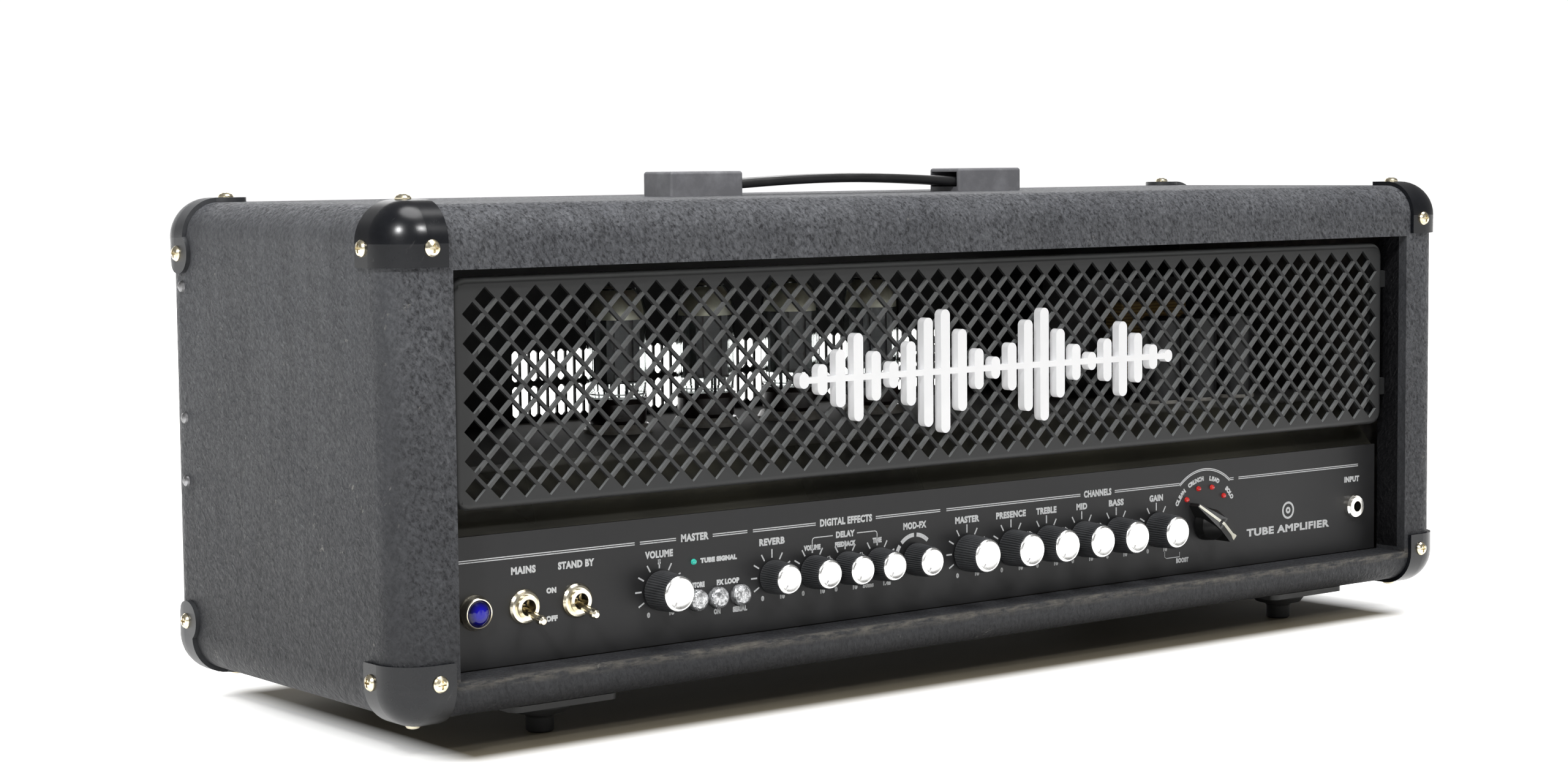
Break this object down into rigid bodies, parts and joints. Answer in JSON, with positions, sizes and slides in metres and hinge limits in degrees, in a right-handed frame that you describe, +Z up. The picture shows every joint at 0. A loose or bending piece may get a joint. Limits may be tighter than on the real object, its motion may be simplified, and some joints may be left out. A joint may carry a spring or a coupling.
{
  "type": "guitar amplifier head",
  "caption": "Tube guitar amplifier head: covered wooden cabinet with corner protectors, strap handle, diamond grille and a recessed front control panel.",
  "frame": {"origin": "under the middle of the cabinet, on the surface the rubber feet stand on", "axes": "+X to the right facing the controls, +Y from the front to the back, +Z up"},
  "size_m": [0.7496, 0.2422, 0.2753],
  "materials": {
    "plywood": "black-stained plywood",
    "vinyl": "pebbled black vinyl",
    "corner_plastic": "glossy",
    "screw_nickel": "nickel plated",
    "dark_screw": "blackened",
    "handle_plastic": "fine grain",
    "strap_rubber": "satin",
    "foot_plate": "moulded",
    "foot_rubber": "matt",
    "grille_paint": "powder coated",
    "badge_white": "white",
    "chassis_paint": "satin black",
    "panel_paint": "satin black",
    "core_steel": "varnished laminations",
    "coil_wrap": "tape wrapped copper",
    "tube_glass": "clear",
    "tube_base": "phenolic",
    "tube_anode": "grey coated",
    "tube_socket": "glazed",
    "can_metal": "blackened",
    "board_resin": "solder masked",
    "capacitor_sleeve": "shrink sleeve",
    "control_body": "stamped",
    "nut_chrome": "polished",
    "lens_blue": "faceted blue",
    "lamp_red": "tinted",
    "inlet_plastic": "moulded",
    "jack_plastic": "moulded",
    "selector_plastic": "glossy",
    "knob_plastic": "knurled with a bright cap",
    "lever_nickel": "polished",
    "button_clear": "translucent"
  },
  "bodies": {
    "cabinet": {"side_board_left": "plywood", "side_board_right": "plywood", "top_board": "plywood", "bottom_board": "plywood", "front_battens": "plywood", "vinyl_covering": "vinyl", "front_corner_protectors": "corner_plastic", "rear_corner_protectors": "corner_plastic", "corner_screws": "screw_nickel", "wood_screws": "dark_screw", "side_screws": "dark_screw", "handle_cap_left": "handle_plastic", "handle_cap_right": "handle_plastic", "strap_tails": "strap_rubber", "foot_plates": "foot_plate", "rubber_feet": "foot_rubber", "front_grille": "grille_paint", "grille_badge": "badge_white", "grille_brackets": "grille_paint", "chassis": "chassis_paint", "control_panel": "panel_paint", "rear_vent_panel": "panel_paint", "transformer_cores": "core_steel", "transformer_coils": "coil_wrap", "power_tube_glass": "tube_glass", "power_tube_bases": "tube_base", "power_tube_anodes": "tube_anode", "tube_sockets": "tube_socket", "preamp_tube_cans": "can_metal", "circuit_board": "board_resin", "filter_capacitors": "capacitor_sleeve", "control_bodies": "control_body", "control_nuts": "nut_chrome", "pilot_lamp_bezel": "nut_chrome", "pilot_lamp_lens": "lens_blue", "input_jack": "nut_chrome", "indicator_lamps": "lamp_red", "mains_inlet": "inlet_plastic", "rear_jacks": "jack_plastic"},
    "master_volume_knob": {"master_volume_knob": "knob_plastic"},
    "reverb_knob": {"reverb_knob": "knob_plastic"},
    "delay_volume_knob": {"delay_volume_knob": "knob_plastic"},
    "delay_feedback_knob": {"delay_feedback_knob": "knob_plastic"},
    "delay_time_knob": {"delay_time_knob": "knob_plastic"},
    "modulation_knob": {"modulation_knob": "knob_plastic"},
    "channel_master_knob": {"channel_master_knob": "knob_plastic"},
    "presence_knob": {"presence_knob": "knob_plastic"},
    "treble_knob": {"treble_knob": "knob_plastic"},
    "middle_knob": {"middle_knob": "knob_plastic"},
    "bass_knob": {"bass_knob": "knob_plastic"},
    "gain_knob": {"gain_knob": "knob_plastic"},
    "channel_selector_knob": {"channel_selector_knob": "selector_plastic"},
    "mains_toggle": {"mains_toggle": "lever_nickel"},
    "standby_toggle": {"standby_toggle": "lever_nickel"},
    "store_button": {"store_button": "button_clear"},
    "loop_button": {"loop_button": "button_clear"},
    "serial_button": {"serial_button": "button_clear"},
    "strap_middle": {"strap_middle": "strap_rubber"},
    "strap_link_left": {"strap_link_left": "strap_rubber"},
    "strap_link_right": {"strap_link_right": "strap_rubber"}
  },
  "joints": [
    {"name": "master_volume_turn", "type": "hinge", "parent": "cabinet", "child": "master_volume_knob", "pos_m": [-0.207, -0.0943, 0.0662], "axis": [0, 1, 0], "range_deg": [0, 300]},
    {"name": "reverb_turn", "type": "hinge", "parent": "cabinet", "child": "reverb_knob", "pos_m": [-0.1356, -0.0943, 0.0662], "axis": [0, 1, 0], "range_deg": [0, 300]},
    {"name": "delay_volume_turn", "type": "hinge", "parent": "cabinet", "child": "delay_volume_knob", "pos_m": [-0.1089, -0.0943, 0.0662], "axis": [0, 1, 0], "range_deg": [0, 300]},
    {"name": "delay_feedback_turn", "type": "hinge", "parent": "cabinet", "child": "delay_feedback_knob", "pos_m": [-0.0868, -0.0943, 0.0662], "axis": [0, 1, 0], "range_deg": [0, 300]},
    {"name": "delay_time_turn", "type": "hinge", "parent": "cabinet", "child": "delay_time_knob", "pos_m": [-0.0648, -0.0943, 0.0662], "axis": [0, 1, 0], "range_deg": [0, 300]},
    {"name": "modulation_turn", "type": "hinge", "parent": "cabinet", "child": "modulation_knob", "pos_m": [-0.0386, -0.0943, 0.0662], "axis": [0, 1, 0], "range_deg": [0, 300]},
    {"name": "channel_master_turn", "type": "hinge", "parent": "cabinet", "child": "channel_master_knob", "pos_m": [-0.001, -0.0943, 0.0662], "axis": [0, 1, 0], "range_deg": [0, 300]},
    {"name": "presence_turn", "type": "hinge", "parent": "cabinet", "child": "presence_knob", "pos_m": [0.0315, -0.0943, 0.0662], "axis": [0, 1, 0], "range_deg": [0, 300]},
    {"name": "treble_turn", "type": "hinge", "parent": "cabinet", "child": "treble_knob", "pos_m": [0.0583, -0.0943, 0.0662], "axis": [0, 1, 0], "range_deg": [0, 300]},
    {"name": "middle_turn", "type": "hinge", "parent": "cabinet", "child": "middle_knob", "pos_m": [0.0855, -0.0943, 0.0662], "axis": [0, 1, 0], "range_deg": [0, 300]},
    {"name": "bass_turn", "type": "hinge", "parent": "cabinet", "child": "bass_knob", "pos_m": [0.1126, -0.0943, 0.0662], "axis": [0, 1, 0], "range_deg": [0, 300]},
    {"name": "gain_turn", "type": "hinge", "parent": "cabinet", "child": "gain_knob", "pos_m": [0.1449, -0.0943, 0.0662], "axis": [0, 1, 0], "range_deg": [0, 300]},
    {"name": "channel_selector_turn", "type": "hinge", "parent": "cabinet", "child": "channel_selector_knob", "pos_m": [0.1851, -0.0943, 0.0662], "axis": [0, 1, 0], "range_deg": [0, 90]},
    {"name": "mains_toggle_flip", "type": "hinge", "parent": "cabinet", "child": "mains_toggle", "pos_m": [-0.2878, -0.0893, 0.0662], "axis": [-1, 0, 0], "range_deg": [0, 26]},
    {"name": "standby_toggle_flip", "type": "hinge", "parent": "cabinet", "child": "standby_toggle", "pos_m": [-0.2572, -0.0893, 0.0662], "axis": [-1, 0, 0], "range_deg": [0, 26]},
    {"name": "store_button_push", "type": "slide", "parent": "cabinet", "child": "store_button", "axis": [0, 1, 0], "range_m": [0, 0.0015], "stiffness_N_per_m": 300},
    {"name": "loop_button_push", "type": "slide", "parent": "cabinet", "child": "loop_button", "axis": [0, 1, 0], "range_m": [0, 0.0015], "stiffness_N_per_m": 300},
    {"name": "serial_button_push", "type": "slide", "parent": "cabinet", "child": "serial_button", "axis": [0, 1, 0], "range_m": [0, 0.0015], "stiffness_N_per_m": 300},
    {"name": "handle_lift", "type": "slide", "parent": "cabinet", "child": "strap_middle", "axis": [0, 0, 1], "range_m": [0, 0.012], "stiffness_N_per_m": 150},
    {"name": "strap_left_bend", "type": "hinge", "parent": "strap_middle", "child": "strap_link_left", "pos_m": [-0.03, 0.0147, 0.27065], "axis": [0, -1, 0], "range_deg": [0, 13]},
    {"name": "strap_right_bend", "type": "hinge", "parent": "strap_middle", "child": "strap_link_right", "pos_m": [0.03, 0.0147, 0.27065], "axis": [0, 1, 0], "range_deg": [0, 13]}
  ],
  "couplings": [
    {"joint": "strap_left_bend", "follows": "handle_lift", "rad_per_m": 18.5},
    {"joint": "strap_right_bend", "follows": "handle_lift", "rad_per_m": 18.5}
  ]
}
